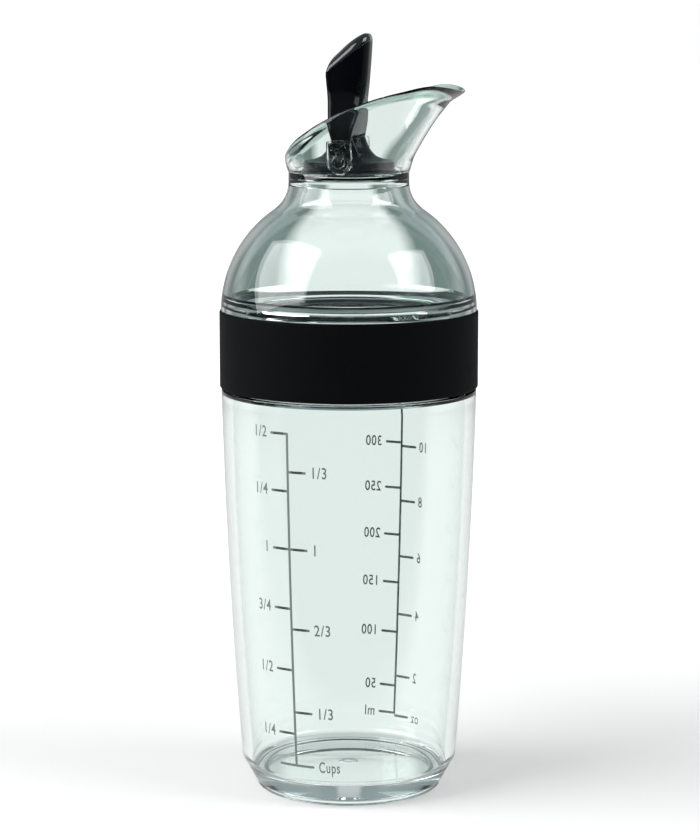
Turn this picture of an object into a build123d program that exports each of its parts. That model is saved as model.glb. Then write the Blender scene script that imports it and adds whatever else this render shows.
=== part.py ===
from build123d import *
import os
from math import atan2, cos, degrees, hypot, pi, radians, sin

# A salad dressing shaker: a clear tapered container, a clear domed lid that screws onto it and
# ends in a pouring spout, and a lever that works a stopper in the lid's neck.
# Millimetres. The origin is the centre of the foot ring's underside, +Z is up along the axis and
# +X points at the tip of the spout. The lever stands upright, so the stopper is raised.

# Container
FOOT_R = 27.6
FOOT_HEIGHT = 1.5
FOOT_WIDTH = 2.4
FOOT_RECESS = 2.3
GATE_MARK_R = 2.8
GATE_MARK_DEPTH = 0.4
HEEL_R, HEEL_Z = 32.0, 7.4
HEEL_BEND = 7.6
BODY_MID_R, BODY_MID_Z = 35.36, 61.0
BODY_TOP_R, SHOULDER_Z = 37.55, 119.2
CONTAINER_WALL = 3.0
FLOOR_Z = 6.3
FLOOR_FILLET = 3.6
INNER_SHOULDER_Z = 116.6
FINISH_R, FINISH_BORE_R = 33.4, 31.0
MOUTH_Z = 140.5

# Grip band and the lid's skirt
BAND_R = 38.0
BAND_BOTTOM_Z, BAND_TOP_Z = 119.8, 142.4
BAND_SEAT_R = 36.7
BAND_EDGE = 0.5
BAND_GAP = 0.03
SKIRT_BORE_R = 34.6
SKIRT_BOTTOM_Z = 120.0

# Gasket and the ledge that it seats under
LEDGE_R = 30.8
LEDGE_Z = 142.3
LEDGE_LIP_Z = 143.7
LEDGE_TOP_Z = 146.2
GASKET_R, GASKET_BORE_R = 34.3, 31.3
GASKET_HEIGHT = 1.45
GASKET_GAP = 0.15

# Dome: a round of DOME_RADIUS about a ring close to the axis, then a hollow curve into the neck
DOME_CENTRE_R, DOME_CENTRE_Z = 1.46, 142.0
DOME_RADIUS = 36.1
DOME_WALL = 2.6
NECK_CURVE = 10.0
NECK_R = 17.6
NECK_TOP_Z = 182.9
BORE_R = 14.0
BORE_BOTTOM_Z, BORE_TOP_Z = 178.4, 180.3
THROAT_R, THROAT_Z = 15.5, 181.8

# Spout: each level is a round of the back radius with a nose that reaches out to the front reach
NOSE_POWER = 7
SPOUT_Z = (182.5, 186.7, 190.5, 194.2, 197.7, 201.2, 203.5, 205.2, 206.6, 209.0)
FRONT_REACH = (17.75, 18.9, 20.9, 23.1, 25.4, 28.1, 30.2, 33.0, 36.0, 42.0)
BACK_R = (17.75, 18.9, 19.25, 19.4, 19.55, 19.7, 19.8, 19.85, 19.9, 20.0)
FRONT_WALL = (2.3, 2.0, 2.0, 2.0, 2.0, 2.0, 1.8, 2.1, 2.4, 2.6)
BACK_WALL = (2.3, 2.0, 2.0, 2.0, 2.0, 2.0, 2.0, 2.0, 2.0, 2.0)
NECK_WALL = 2.0
SECTION_POINTS = 28
RIM = ((-22.0, 182.6), (-19.0, 186.7), (-15.5, 190.6), (-8.8, 195.5), (0.0, 200.2),
       (8.2, 203.5), (17.8, 206.2), (28.0, 207.8), (34.0, 205.9), (38.0, 202.6))

# Hinge of the lever: studs on pads that stand off the inside of the neck
PIVOT_Z = 186.25
STUD_R = 2.05
STUD_END_Y = 11.9
PAD_FACE_Y = 14.15
PAD_R = 3.3
PAD_TOP_Z = 191.2
PAD_REACH_Y = 20.0
PAD_ROOT = ((16.6, 182.0), (16.8, 184.0), (17.7, 186.7), (18.1, 190.5), (18.2, 193.0))
STUD_ROOT = 0.4
HINGE_GAP = 0.07

# Lever
LEG_IN_Y, LEG_OUT_Y = 11.7, 13.95
LEG_R = 2.65
LEG_TOP_Z = 191.2
ARCH_R = 7.8
CAP_BACK = (-5.6, 211.1)
CAP_FRONT = (6.3, 220.4)
LEVER_WALL = 1.7
POCKET_BOTTOM_Z = 200.0
# each section: height, back x, front x, half width at the back and at the front, corner radii
LEVER_SECTIONS = (
    (190.5, -2.65, 2.65, 13.95, 13.95, 0.8, 0.8),
    (192.5, -2.90, 2.75, 13.95, 13.95, 0.9, 0.9),
    (194.0, -3.30, 2.95, 13.90, 13.90, 1.0, 1.0),
    (195.5, -3.80, 3.25, 13.75, 13.70, 1.2, 1.3),
    (197.0, -4.10, 3.60, 13.30, 13.05, 1.3, 1.7),
    (198.5, -4.30, 3.90, 12.60, 11.90, 1.4, 2.2),
    (200.0, -4.50, 4.25, 11.60, 10.50, 1.4, 2.9),
    (201.5, -4.70, 4.60, 10.55, 9.10, 1.4, 3.7),
    (203.2, -4.90, 4.95, 9.45, 7.80, 1.4, 4.5),
    (205.2, -5.10, 5.30, 8.90, 6.90, 1.4, 5.0),
    (208.0, -5.40, 5.70, 8.75, 6.45, 1.4, 5.2),
    (214.0, -5.95, 6.20, 8.72, 6.25, 1.4, 5.2),
    (232.0, -7.50, 7.10, 9.10, 6.25, 1.4, 5.2),
)
CAP_DOME = (10.6, 17.0, 6.7)
CAP_DOME_SINK = 2.85
CAP_DOME_SHIFT = 2.1
# the arch that rounds the cap's sides: place along the slope and half width, twice
CAP_ARCH = ((-9.0, 9.2), (10.0, 6.05))
CAP_ARCH_HEIGHT = 4.6
CAP_ARCH_SINK = 0.3
CAP_NOSE = (4.4, 220.5)
CAP_NOSE_R = 2.1
CAP_PLUG_DEPTH = 1.5
CAP_PLUG_WALL = 1.1
PLUG_GAP = 0.1

# Link between lever and stopper: it turns the lever's swing into the stopper's lift
LINK_ARM = 3.92
LINK_ANGLE = 22.5
LINK_PIN_R = 0.9
LINK_PIN_HALF = 11.2
LINK_EYE_R = 1.45
EYE_IN_Y = 9.6
EYE_ROOT = (1.3, 192.4)
LINK_SLOT_PLAY = 0.35
LINK_GAP = 0.06

# Stopper and its seal
STOPPER_BASE_Z = 180.7
STOPPER_BASE_R = 12.9
STOPPER_BASE_HEIGHT = 0.8
GROOVE_R = 11.6
SEAL_R = 13.9
SEAL_HEIGHT = 1.9
SEAL_GAP = 0.03
FLANGE_R = 13.35
FLANGE_TOP_Z = 186.05
STEM_R = 4.9
STEM_TOP_Z = 193.2
NOTCH_HALF = 3.1
NOTCH_Y = 11.3
STOPPER_DISH_R = 9.5
STOPPER_DISH_DEPTH = 1.6


def revolved(*edges):
    """One turn about the axis of the face that the edges close in the XZ plane."""
    return revolve(Plane.XZ * make_face(list(edges)), Axis.Z)


def around(centre_x, centre_z, radius, angle):
    """The point at an angle in degrees on a circle in the profile plane."""
    return (centre_x + radius * cos(radians(angle)), centre_z + radius * sin(radians(angle)))


def make_container():
    """Foot ring, convex heel, body that widens upwards in one slow curve, and the neck finish."""
    foot_in = FOOT_R - FOOT_WIDTH
    heel_foot = (FOOT_R + 0.9, FOOT_HEIGHT)
    heel = (HEEL_R, HEEL_Z)
    floor_edge = HEEL_R - CONTAINER_WALL - FLOOR_FILLET
    wall_foot = (floor_edge + FLOOR_FILLET, FLOOR_Z + FLOOR_FILLET)
    fillet_mid = around(floor_edge, FLOOR_Z + FLOOR_FILLET, FLOOR_FILLET, -45)
    wall_mid = (BODY_MID_R - CONTAINER_WALL, BODY_MID_Z)
    wall_top = (BODY_TOP_R - CONTAINER_WALL - 0.2, INNER_SHOULDER_Z)
    outline = [
        Line((GATE_MARK_R, FOOT_RECESS + GATE_MARK_DEPTH), (GATE_MARK_R, FOOT_RECESS)),
        Line((GATE_MARK_R, FOOT_RECESS), (foot_in - 0.5, FOOT_RECESS)),
        Line((foot_in - 0.5, FOOT_RECESS), (foot_in, 0)),
        Line((foot_in, 0), (FOOT_R - 0.5, 0)),
        Line((FOOT_R - 0.5, 0), (FOOT_R, 0.5)),
        Line((FOOT_R, 0.5), (FOOT_R, FOOT_HEIGHT)),
        Line((FOOT_R, FOOT_HEIGHT), heel_foot),
        RadiusArc(heel_foot, heel, -HEEL_BEND),
        ThreePointArc(heel, (BODY_MID_R, BODY_MID_Z), (BODY_TOP_R, SHOULDER_Z - 0.5)),
        Line((BODY_TOP_R, SHOULDER_Z - 0.5), (BODY_TOP_R - 0.5, SHOULDER_Z)),
        Line((BODY_TOP_R - 0.5, SHOULDER_Z), (FINISH_R, SHOULDER_Z)),
        Line((FINISH_R, SHOULDER_Z), (FINISH_R, MOUTH_Z - 0.6)),
        Line((FINISH_R, MOUTH_Z - 0.6), (FINISH_R - 0.6, MOUTH_Z)),
        Line((FINISH_R - 0.6, MOUTH_Z), (FINISH_BORE_R + 0.4, MOUTH_Z)),
        Line((FINISH_BORE_R + 0.4, MOUTH_Z), (FINISH_BORE_R, MOUTH_Z - 0.4)),
        Line((FINISH_BORE_R, MOUTH_Z - 0.4), (FINISH_BORE_R, SHOULDER_Z - 0.6)),
        Line((FINISH_BORE_R, SHOULDER_Z - 0.6), wall_top),
        ThreePointArc(wall_top, wall_mid, wall_foot),
        ThreePointArc(wall_foot, fillet_mid, (floor_edge, FLOOR_Z)),
        Line((floor_edge, FLOOR_Z), (0, FLOOR_Z)),
        Line((0, FLOOR_Z), (0, FOOT_RECESS + GATE_MARK_DEPTH)),
        Line((0, FOOT_RECESS + GATE_MARK_DEPTH), (GATE_MARK_R, FOOT_RECESS + GATE_MARK_DEPTH)),
    ]
    return revolved(*outline)


def make_grip_band():
    """A soft band with rounded edges that fills the recess round the lid's skirt."""
    ring = Pos(0, 0, BAND_BOTTOM_Z) * extrude(
        Circle(BAND_R) - Circle(BAND_SEAT_R + BAND_GAP), BAND_TOP_Z - BAND_BOTTOM_Z)
    rounds = ring.edges().filter_by(GeomType.CIRCLE)
    return fillet(rounds.filter_by(lambda edge: edge.radius > BAND_SEAT_R + 0.1), BAND_EDGE)


def make_gasket():
    """A flat ring with a shallow bead on the face that meets the container's mouth."""
    top = LEDGE_Z - GASKET_GAP
    bottom = top - GASKET_HEIGHT
    bead_r = (GASKET_R + GASKET_BORE_R) / 2
    return revolved(
        Line((GASKET_BORE_R, top), (GASKET_R, top)),
        Line((GASKET_R, top), (GASKET_R, bottom + 0.3)),
        Line((GASKET_R, bottom + 0.3), (bead_r + 0.7, bottom + 0.3)),
        ThreePointArc((bead_r + 0.7, bottom + 0.3), (bead_r, bottom), (bead_r - 0.7, bottom + 0.3)),
        Line((bead_r - 0.7, bottom + 0.3), (GASKET_BORE_R, bottom + 0.3)),
        Line((GASKET_BORE_R, bottom + 0.3), (GASKET_BORE_R, top)),
    )


def make_dome():
    """Skirt with the band's recess, gasket ledge, dome, neck curve and the stopper's bore."""
    curve_r = NECK_R + NECK_CURVE
    rise = hypot(DOME_RADIUS + NECK_CURVE, 0) ** 2 - (curve_r - DOME_CENTRE_R) ** 2
    curve_z = DOME_CENTRE_Z + rise ** 0.5
    lean = degrees(atan2(curve_z - DOME_CENTRE_Z, curve_r - DOME_CENTRE_R))
    start = degrees(atan2(BAND_TOP_Z - DOME_CENTRE_Z, DOME_RADIUS))
    inner = DOME_RADIUS - DOME_WALL
    inner_curve = NECK_CURVE + DOME_WALL
    inner_start = degrees(atan2(LEDGE_TOP_Z - DOME_CENTRE_Z, inner))
    bore_turn = 180 + degrees(atan2(curve_z - BORE_BOTTOM_Z, inner_curve))

    dome_foot = around(DOME_CENTRE_R, DOME_CENTRE_Z, DOME_RADIUS, start)
    dome_mid = around(DOME_CENTRE_R, DOME_CENTRE_Z, DOME_RADIUS, (start + lean) / 2)
    dome_top = around(DOME_CENTRE_R, DOME_CENTRE_Z, DOME_RADIUS, lean)
    curve_mid = around(curve_r, curve_z, NECK_CURVE, (180 + 180 + lean) / 2)
    inner_foot = around(DOME_CENTRE_R, DOME_CENTRE_Z, inner, inner_start)
    inner_mid = around(DOME_CENTRE_R, DOME_CENTRE_Z, inner, (inner_start + lean) / 2)
    inner_top = around(DOME_CENTRE_R, DOME_CENTRE_Z, inner, lean)
    bore_foot = around(curve_r, curve_z, inner_curve, bore_turn)
    inner_curve_mid = around(curve_r, curve_z, inner_curve, (bore_turn + 180 + lean) / 2)
    return revolved(
        Line((SKIRT_BORE_R, SKIRT_BOTTOM_Z), (BAND_SEAT_R, SKIRT_BOTTOM_Z)),
        Line((BAND_SEAT_R, SKIRT_BOTTOM_Z), (BAND_SEAT_R, BAND_TOP_Z)),
        Line((BAND_SEAT_R, BAND_TOP_Z), dome_foot),
        ThreePointArc(dome_foot, dome_mid, dome_top),
        ThreePointArc(dome_top, curve_mid, (NECK_R, curve_z)),
        Line((NECK_R, curve_z), (NECK_R, NECK_TOP_Z)),
        Line((NECK_R, NECK_TOP_Z), (NECK_R - NECK_WALL, NECK_TOP_Z)),
        Line((NECK_R - NECK_WALL, NECK_TOP_Z), (THROAT_R, THROAT_Z)),
        Line((THROAT_R, THROAT_Z), (BORE_R, BORE_TOP_Z)),
        Line((BORE_R, BORE_TOP_Z), (BORE_R, BORE_BOTTOM_Z)),
        Line((BORE_R, BORE_BOTTOM_Z), bore_foot),
        ThreePointArc(bore_foot, inner_curve_mid, inner_top),
        ThreePointArc(inner_top, inner_mid, inner_foot),
        Line(inner_foot, (LEDGE_R, LEDGE_LIP_Z)),
        Line((LEDGE_R, LEDGE_LIP_Z), (LEDGE_R, LEDGE_Z)),
        Line((LEDGE_R, LEDGE_Z), (SKIRT_BORE_R, LEDGE_Z)),
        Line((SKIRT_BORE_R, LEDGE_Z), (SKIRT_BORE_R, SKIRT_BOTTOM_Z)),
    )


def spout_section(height, reach, back):
    """One level of the spout: a round whose radius swells towards +X into the pouring nose."""
    points = []
    for step in range(SECTION_POINTS):
        turn = 2 * pi * step / SECTION_POINTS
        radius = back + (reach - back) * ((1 + cos(turn)) / 2) ** NOSE_POWER
        points.append((radius * cos(turn), radius * sin(turn)))
    return Pos(0, 0, height) * make_face(Spline(*points, periodic=True))


def make_spout():
    """The flared spout wall, cut along the rim line that climbs from the low back to the tip."""
    outer = zip(SPOUT_Z, FRONT_REACH, BACK_R)
    inner = zip(SPOUT_Z, FRONT_REACH, FRONT_WALL, BACK_R, BACK_WALL)
    outside = loft([spout_section(z, reach, back) for z, reach, back in outer])
    inside = loft([spout_section(z, reach - wall, back - back_wall)
                   for z, reach, wall, back, back_wall in inner])
    above = max(z for x, z in RIM) + 20
    over_rim = Plane.XZ * make_face([
        Spline(*RIM),
        Line(RIM[-1], (RIM[-1][0] + 20, above)),
        Line((RIM[-1][0] + 20, above), (RIM[0][0] - 20, above)),
        Line((RIM[0][0] - 20, above), RIM[0]),
    ])
    return outside - inside - extrude(over_rim, 60, both=True)


def make_hinge_pad(side):
    """A pad on the neck's inner wall: round under the pivot, straight above it."""
    shape = (Pos(0, PIVOT_Z) * Circle(PAD_R)
             + Pos(0, (PIVOT_Z + PAD_TOP_Z) / 2) * Rectangle(2 * PAD_R, PAD_TOP_Z - PIVOT_Z))
    block = extrude(Plane.XZ * shape, PAD_REACH_Y - PAD_FACE_Y)
    wall_middle = Polyline((0, PAD_ROOT[0][1]), *PAD_ROOT, (0, PAD_ROOT[-1][1]), close=True)
    shift = PAD_REACH_Y if side > 0 else -PAD_FACE_Y
    return (Pos(0, shift, 0) * block) & revolve(Plane.XZ * make_face(wall_middle), Axis.Z)


def make_hinge_stud(side):
    """The round stud that stands on a pad's face and carries one leg of the lever."""
    length = PAD_FACE_Y - STUD_END_Y + STUD_ROOT
    middle = STUD_END_Y + length / 2
    return Pos(0, side * middle, PIVOT_Z) * Rot(90, 0, 0) * Cylinder(STUD_R, length)


def make_lid():
    """Dome, neck, spout, pads and studs in one clear moulding."""
    spout = make_spout() + make_hinge_pad(-1) + make_hinge_pad(1)
    return make_dome() + spout + make_hinge_stud(-1) + make_hinge_stud(1)


def lever_section(height, back, front, half_back, half_front, r_back, r_front, inset):
    """One level of the lever: a rounded trapezoid, narrower towards the spout."""
    corners = [(back + inset, -half_back + inset), (front - inset, -half_front + inset),
               (front - inset, half_front - inset), (back + inset, half_back - inset)]
    face = make_face(Polyline(*corners, close=True))
    face = fillet([v for v in face.vertices() if v.X < 0], max(r_back - inset, 0.4))
    front_pair = sorted(face.vertices(), key=lambda v: v.X)[-2:]
    return Pos(0, 0, height) * fillet(front_pair, max(r_front - inset, 0.4))


def lever_form(inset=0.0, lowest=0.0):
    """The lever's outer form over its whole height, or the same form drawn in by inset."""
    rows = [row for row in LEVER_SECTIONS if row[0] >= lowest]
    return loft([lever_section(*row, inset) for row in rows], ruled=True)


def cap_plane():
    """The slanted plane that parts the lever from its cap, x along the slope, z outwards."""
    rise = (CAP_FRONT[0] - CAP_BACK[0], 0, CAP_FRONT[1] - CAP_BACK[1])
    middle = ((CAP_FRONT[0] + CAP_BACK[0]) / 2, 0, (CAP_FRONT[1] + CAP_BACK[1]) / 2)
    return Plane(middle, x_dir=rise, z_dir=(-rise[2], 0, rise[0]))


def above_cap_plane(drop=0.0):
    """A block that fills the space over the parting plane, lowered by drop."""
    return cap_plane() * Pos(0, 0, 30 - drop) * Box(80, 80, 60)


def make_lever():
    """Hollow handle that flares into two legs, with eyes for the studs and for the link pin."""
    arch = Pos(0, 0, PIVOT_Z) * Rot(90, 0, 0) * Cylinder(ARCH_R, 2 * LEG_IN_Y)
    pocket = lever_form(LEVER_WALL, POCKET_BOTTOM_Z)
    lever = lever_form() - above_cap_plane() - arch - pocket
    leg_shape = (Pos(0, PIVOT_Z) * Circle(LEG_R)
                 + Pos(0, (PIVOT_Z + LEG_TOP_Z) / 2) * Rectangle(2 * LEG_R, LEG_TOP_Z - PIVOT_Z))
    link = around(0, PIVOT_Z, LINK_ARM, LINK_ANGLE)
    lean = degrees(atan2(EYE_ROOT[1] - link[1], EYE_ROOT[0] - link[0]))
    reach = hypot(EYE_ROOT[1] - link[1], EYE_ROOT[0] - link[0])
    eye_shape = (Pos((link[0] + EYE_ROOT[0]) / 2, (link[1] + EYE_ROOT[1]) / 2)
                 * Rot(0, 0, lean) * SlotCenterToCenter(reach, 2 * LINK_EYE_R))
    for side in (-1, 1):
        leg = extrude(Plane.XZ * leg_shape, LEG_OUT_Y - LEG_IN_Y)
        leg = Pos(0, LEG_OUT_Y if side > 0 else -LEG_IN_Y, 0) * leg
        eye = extrude(Plane.XZ * eye_shape, LEG_IN_Y + 0.1 - EYE_IN_Y)
        eye = Pos(0, LEG_IN_Y + 0.1 if side > 0 else -EYE_IN_Y, 0) * eye
        lever = lever + leg + eye
    stud_bore = Rot(90, 0, 0) * Cylinder(STUD_R + HINGE_GAP, 40)
    pin_bore = Rot(90, 0, 0) * Cylinder(LINK_PIN_R, 2 * LINK_PIN_HALF)
    return lever - Pos(0, 0, PIVOT_Z) * stud_bore - Pos(link[0], 0, link[1]) * pin_bore


def beyond_nose():
    """The space outside the round that ends the cap towards the spout."""
    x, z = CAP_NOSE
    far_x, far_z = x + 20, z + 20
    outside = make_face([
        ThreePointArc((x + CAP_NOSE_R, z), around(x, z, CAP_NOSE_R, 45), (x, z + CAP_NOSE_R)),
        Line((x, z + CAP_NOSE_R), (x, far_z)),
        Line((x, far_z), (far_x, far_z)),
        Line((far_x, far_z), (far_x, z)),
        Line((far_x, z), (x + CAP_NOSE_R, z)),
    ])
    return extrude(Plane.XZ * outside, 30, both=True)


def cap_arch():
    """A tapering arch along the parting plane's slope."""
    ends = []
    for place, half in CAP_ARCH:
        upper = Pos(0, CAP_ARCH_HEIGHT / 2) * Rectangle(2 * half + 2, CAP_ARCH_HEIGHT)
        ends.append(Pos(place, 0, -CAP_ARCH_SINK) * (Plane.YZ * (Ellipse(half, CAP_ARCH_HEIGHT) & upper)))
    return cap_plane() * loft(ends, ruled=True)


def make_lever_cap():
    """A domed cap on the slanted end, with a plug rim that locates it in the hollow handle."""
    bulge = scale(Sphere(1), by=CAP_DOME)
    dome = cap_plane() * Pos(CAP_DOME_SHIFT, 0, -CAP_DOME_SINK) * bulge
    cap = (lever_form() & above_cap_plane() & dome & cap_arch()) - beyond_nose()
    plug_outer = lever_form(LEVER_WALL + PLUG_GAP, POCKET_BOTTOM_Z)
    plug_inner = lever_form(LEVER_WALL + PLUG_GAP + CAP_PLUG_WALL, POCKET_BOTTOM_Z)
    slab = above_cap_plane(CAP_PLUG_DEPTH) - above_cap_plane(-0.3)
    return cap + ((plug_outer - plug_inner) & slab)


def make_link_pin():
    """The cross pin through both eyes and the slot in the stem."""
    link = around(0, PIVOT_Z, LINK_ARM, LINK_ANGLE)
    pin = Cylinder(LINK_PIN_R, 2 * LINK_PIN_HALF)
    pin = chamfer(pin.edges().filter_by(GeomType.CIRCLE), 0.25)
    return Pos(link[0], 0, link[1]) * Rot(90, 0, 0) * pin


def make_stopper():
    """A spool that holds the seal, under a trumpet stem slotted for the link pin."""
    groove_bottom = STOPPER_BASE_Z + STOPPER_BASE_HEIGHT
    groove_top = groove_bottom + SEAL_HEIGHT
    dish_top = STOPPER_BASE_Z + STOPPER_DISH_DEPTH
    flare = Spline((FLANGE_R - 0.8, FLANGE_TOP_Z), (8.2, 187.1), (6.0, 189.6), (STEM_R, 192.2),
                   tangents=[(-1, 0.12), (0, 1)])
    spool = revolved(
        Line((0, dish_top), (STOPPER_DISH_R - 1, dish_top)),
        Line((STOPPER_DISH_R - 1, dish_top), (STOPPER_DISH_R, STOPPER_BASE_Z)),
        Line((STOPPER_DISH_R, STOPPER_BASE_Z), (STOPPER_BASE_R - 0.3, STOPPER_BASE_Z)),
        Line((STOPPER_BASE_R - 0.3, STOPPER_BASE_Z), (STOPPER_BASE_R, STOPPER_BASE_Z + 0.3)),
        Line((STOPPER_BASE_R, STOPPER_BASE_Z + 0.3), (STOPPER_BASE_R, groove_bottom)),
        Line((STOPPER_BASE_R, groove_bottom), (GROOVE_R, groove_bottom)),
        Line((GROOVE_R, groove_bottom), (GROOVE_R, groove_top)),
        Line((GROOVE_R, groove_top), (FLANGE_R, groove_top)),
        Line((FLANGE_R, groove_top), (FLANGE_R, FLANGE_TOP_Z - 0.8)),
        ThreePointArc((FLANGE_R, FLANGE_TOP_Z - 0.8),
                      around(FLANGE_R - 0.8, FLANGE_TOP_Z - 0.8, 0.8, 45),
                      (FLANGE_R - 0.8, FLANGE_TOP_Z)),
        flare,
        Line((STEM_R, 192.2), (STEM_R - 1.2, STEM_TOP_Z)),
        Line((STEM_R - 1.2, STEM_TOP_Z), (0, STEM_TOP_Z)),
        Line((0, STEM_TOP_Z), (0, dish_top)),
    )
    link = around(0, PIVOT_Z, LINK_ARM, LINK_ANGLE)
    slot_height = 2 * (LINK_PIN_R + LINK_GAP)
    slot = (Pos(link[0] + LINK_SLOT_PLAY / 2, 0, link[1]) * Rot(90, 0, 0)
            * extrude(SlotOverall(LINK_SLOT_PLAY + slot_height + 0.2, slot_height), 20, both=True))
    notch_height = FLANGE_TOP_Z - groove_top + 2
    spool -= slot
    for side in (-1, 1):
        notch = Pos(0, side * (NOTCH_Y + 3), groove_top + notch_height / 2)
        spool -= notch * Box(2 * NOTCH_HALF, 6, notch_height)
    return spool


def make_seal():
    """The soft ring in the stopper's groove, with a rounded sealing edge."""
    bottom = STOPPER_BASE_Z + STOPPER_BASE_HEIGHT + SEAL_GAP
    top = bottom + SEAL_HEIGHT - 2 * SEAL_GAP
    bore = GROOVE_R + SEAL_GAP
    round_r = SEAL_R - 0.6
    return revolved(
        Line((bore, bottom), (round_r, bottom)),
        ThreePointArc((round_r, bottom), (SEAL_R, (bottom + top) / 2), (round_r, top)),
        Line((round_r, top), (bore, top)),
        Line((bore, top), (bore, bottom)),
    )


PIECES = {
    "container": make_container,
    "lid_dome": make_lid,
    "grip_band": make_grip_band,
    "container_gasket": make_gasket,
    "stopper": make_stopper,
    "stopper_seal": make_seal,
    "lever_body": make_lever,
    "lever_cap": make_lever_cap,
    "link_pin": make_link_pin,
}

os.makedirs("parts", exist_ok=True)
for name, make in PIECES.items():
    solid = make()
    solid.label = name
    export_step(solid, f"parts/{name}.step")
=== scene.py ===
from math import pi, radians, tan

import bpy
import bmesh
import numpy as np
from bpy.props import FloatProperty, FloatVectorProperty, IntProperty, PointerProperty
from mathutils import Matrix, Vector


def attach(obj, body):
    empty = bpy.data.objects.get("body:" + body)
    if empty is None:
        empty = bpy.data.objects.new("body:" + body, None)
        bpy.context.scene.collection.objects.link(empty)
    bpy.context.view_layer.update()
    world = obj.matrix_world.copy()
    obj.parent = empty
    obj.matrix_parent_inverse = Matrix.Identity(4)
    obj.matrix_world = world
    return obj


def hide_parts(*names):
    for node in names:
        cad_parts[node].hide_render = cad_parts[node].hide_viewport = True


bl_info = {
    "name": "Dressing Shaker",
    "version": (1, 0, 0),
    "blender": (4, 5, 0),
    "location": "View3D > Sidebar > Shaker",
    "description": "Builds the clear shaker, its lid, lever and printed scales on the packed frame",
    "category": "Add Mesh",
}

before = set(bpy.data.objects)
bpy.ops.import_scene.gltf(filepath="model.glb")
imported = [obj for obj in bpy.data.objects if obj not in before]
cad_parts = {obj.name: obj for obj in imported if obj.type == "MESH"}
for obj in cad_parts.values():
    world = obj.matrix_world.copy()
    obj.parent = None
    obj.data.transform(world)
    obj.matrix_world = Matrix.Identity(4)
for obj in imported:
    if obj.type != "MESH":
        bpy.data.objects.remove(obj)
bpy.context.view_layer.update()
MM = 0.001

# Values that the pieces share with the frame, in millimetres
PIVOT_Z = 186.25
PAD_FACE_Y = 14.15
PAD_R, PAD_TOP, PAD_BEND_Z, PAD_LEAN = 3.5, 192.6, 188.5, 0.75
SIDES = ((-1, "near"), (1, "far"))

# Container wall
FOOT_R, FOOT_IN_R = 27.6, 25.2
HEEL_R, HEEL_Z = 32.0, 8.9
BODY_MID = (35.36, 61.0)
BODY_TOP = (37.55, 118.7)
SHOULDER_Z = 119.2
FINISH_R, FINISH_BORE_R, MOUTH_Z = 33.4, 31.0, 140.5
FLOOR_Z = 6.8
WALL_T = 3.0

# Lid below the spout: neck, the hollow curve from neck to dome, dome and wall thickness
NECK_R, NECK_CURVE, DOME_R, DOME_WALL = 17.6, 10.0, 36.1, 2.6
DOME_CENTRE = (1.46, 142.0)
BORE_TOP_Z = 178.4
LIP_DEPTH, LIP_MEET = 2.4, 0.46

# Threads: height of the lower end and turns
CONTAINER_THREAD, LID_THREAD = (124.0, 1.25), (129.0, 1.0)

# Stud and the dish outside it, as (r, y) outlines about the hinge's axis
STUD = ((0, 12.35), (0.7, 12.25), (1.25, 11.98), (1.6, 11.9), (1.9, 11.98), (2.05, 12.2),
        (2.05, 14.5), (0, 14.5))
DISH = ((0, 18.3), (1.2, 18.15), (1.7, 18.2), (2.0, 18.45), (2.2, 19.4), (0, 19.4))
RING = ((2.16, 13.8), (2.19, 13.98), (2.27, 14.07), (2.4, 14.11), (2.53, 14.07), (2.62, 13.98),
        (2.65, 13.8))

# Spout wall by height: reach towards the tip and radius at the back, outside and inside
SPOUT_Z = (182.9, 184.2, 186.7, 190.5, 194.2, 197.7, 201.2, 203.5, 205.2, 206.6, 209.0)
REACH_OUT = (17.75, 18.15, 18.9, 20.9, 23.1, 25.4, 28.1, 30.2, 33.0, 36.0, 42.0)
BACK_OUT = (17.75, 18.15, 18.9, 19.25, 19.4, 19.55, 19.7, 19.8, 19.85, 19.9, 20.0)
REACH_IN = (15.5, 16.05, 16.9, 18.9, 21.1, 23.4, 26.1, 28.4, 30.9, 33.6, 39.4)
BACK_IN = (15.5, 16.05, 16.9, 17.25, 17.4, 17.55, 17.7, 17.8, 17.85, 17.9, 18.0)
NOSE_POWER = 7
RIM_X = (-22.0, -19.0, -15.5, -8.8, 0.0, 8.2, 17.8, 28.0, 34.0, 38.0)
RIM_Z = (182.6, 186.7, 190.6, 195.5, 200.2, 203.5, 206.2, 207.8, 205.9, 202.6)
LIP_X = (-24.0, -19.0, -15.5, -8.8, 0.0, 8.2, 17.8, 24.0, 28.0, 31.0, 34.0, 42.0)
LIP_Z = (178.0, 184.6, 188.6, 193.7, 198.5, 201.7, 203.9, 204.6, 204.8, 204.2, 202.0, 196.0)

# Lever: height, back face, front face, half width at the back and at the front, and corner
# radius at the back and at the front
LEVER = ((186.25, -2.65, 2.65, 13.95, 13.95, 0.8, 0.8), (190.5, -2.65, 2.65, 13.95, 13.95, 0.8, 0.8),
         (192.5, -2.9, 2.75, 13.95, 13.95, 0.9, 0.9), (194.0, -3.3, 2.95, 13.9, 13.9, 1.0, 1.0),
         (195.5, -3.8, 3.25, 13.75, 13.7, 1.2, 1.3), (197.0, -4.1, 3.6, 13.3, 13.05, 1.3, 1.7),
         (198.5, -4.3, 3.9, 12.6, 11.9, 1.4, 2.2), (200.0, -4.5, 4.25, 11.6, 10.5, 1.4, 2.9),
         (201.5, -4.7, 4.6, 10.55, 9.1, 1.4, 3.7), (203.2, -4.9, 4.95, 9.45, 7.8, 1.4, 4.5),
         (205.2, -5.1, 5.3, 8.9, 6.9, 1.4, 5.0), (208.0, -5.4, 5.7, 8.75, 6.45, 1.4, 5.2),
         (214.0, -5.95, 6.2, 8.72, 6.25, 1.4, 5.2), (232.0, -7.5, 7.1, 9.1, 6.25, 1.4, 5.2))
LEG_R = 2.65
LEG_IN_Y = 11.7
ARCH_R = 7.8
HOLE_R = 2.12
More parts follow.
